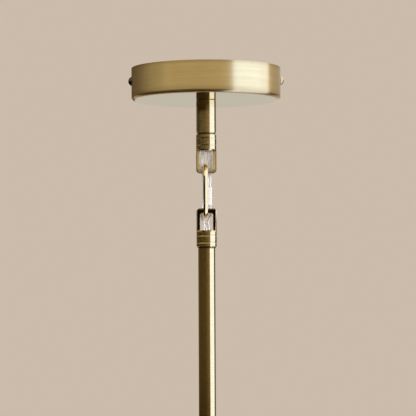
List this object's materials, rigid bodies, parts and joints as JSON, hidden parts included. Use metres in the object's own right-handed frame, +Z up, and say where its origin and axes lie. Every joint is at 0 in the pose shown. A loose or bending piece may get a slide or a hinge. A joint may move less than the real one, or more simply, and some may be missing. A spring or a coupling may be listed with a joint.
{
  "type": "chandelier suspension",
  "caption": "Brushed brass ceiling canopy with a stem, interlocked loops and an oval link with leads beside it, and a long down rod that carries a ring chandelier.",
  "frame": {"origin": "on the ceiling, in the middle of the canopy", "axes": "+Z up, along the stem and the rod; +X to the right and +Y to the back, seen from the front"},
  "size_m": [0.146, 0.14, 0.4843],
  "materials": {
    "canopy_brass": "brushed round its wall, satin underside",
    "turned_brass": "fine turned, satin",
    "loop_brass": "satin, darker in the grooves",
    "link_brass": "satin",
    "rod_brass": "drawn tube, satin",
    "screw_brass": "satin, slotted",
    "terminal_brass": "plain",
    "bracket_steel": "zinc plated",
    "screw_steel": "zinc plated",
    "thread_steel": "threaded, zinc plated",
    "terminal_plastic": "moulded",
    "bush_plastic": "moulded",
    "lead_sheath": "clear sheath over tinned copper",
    "sleeve_plastic": "shrunk sleeve"
  },
  "bodies": {
    "canopy": {"ceiling_bracket": "bracket_steel", "earth_screw": "screw_steel", "terminal_block": "terminal_plastic", "terminal_sleeves": "terminal_brass", "canopy_shell": "canopy_brass", "canopy_screws": "screw_brass", "canopy_nipple": "thread_steel", "canopy_nut": "thread_steel", "canopy_washer": "thread_steel", "wire_bush": "bush_plastic", "stem": "turned_brass", "stem_nipple": "thread_steel", "upper_loop": "loop_brass", "canopy_wires": "lead_sheath"},
    "link": {"link": "link_brass", "wire_sleeve": "sleeve_plastic", "upper_link_wires": "lead_sheath", "lower_link_wires": "lead_sheath"},
    "rod": {"lower_loop": "loop_brass", "rod_nipple": "thread_steel", "rod_top_plug": "terminal_brass", "rod_tube": "rod_brass", "rod_end_plug": "terminal_brass", "rod_end_nipple": "thread_steel", "rod_wires": "lead_sheath"}
  },
  "joints": [
    {"name": "link_swing", "type": "hinge", "parent": "canopy", "child": "link", "pos_m": [0, 0, -0.1013], "axis": [1, 0, 0], "range_deg": [-45, 45], "deforming": ["upper_link_wires"]},
    {"name": "rod_swing", "type": "hinge", "parent": "link", "child": "rod", "pos_m": [-0.0008, 0, -0.1391], "axis": [0, 1, 0], "range_deg": [-45, 45], "deforming": ["lower_link_wires"]}
  ]
}
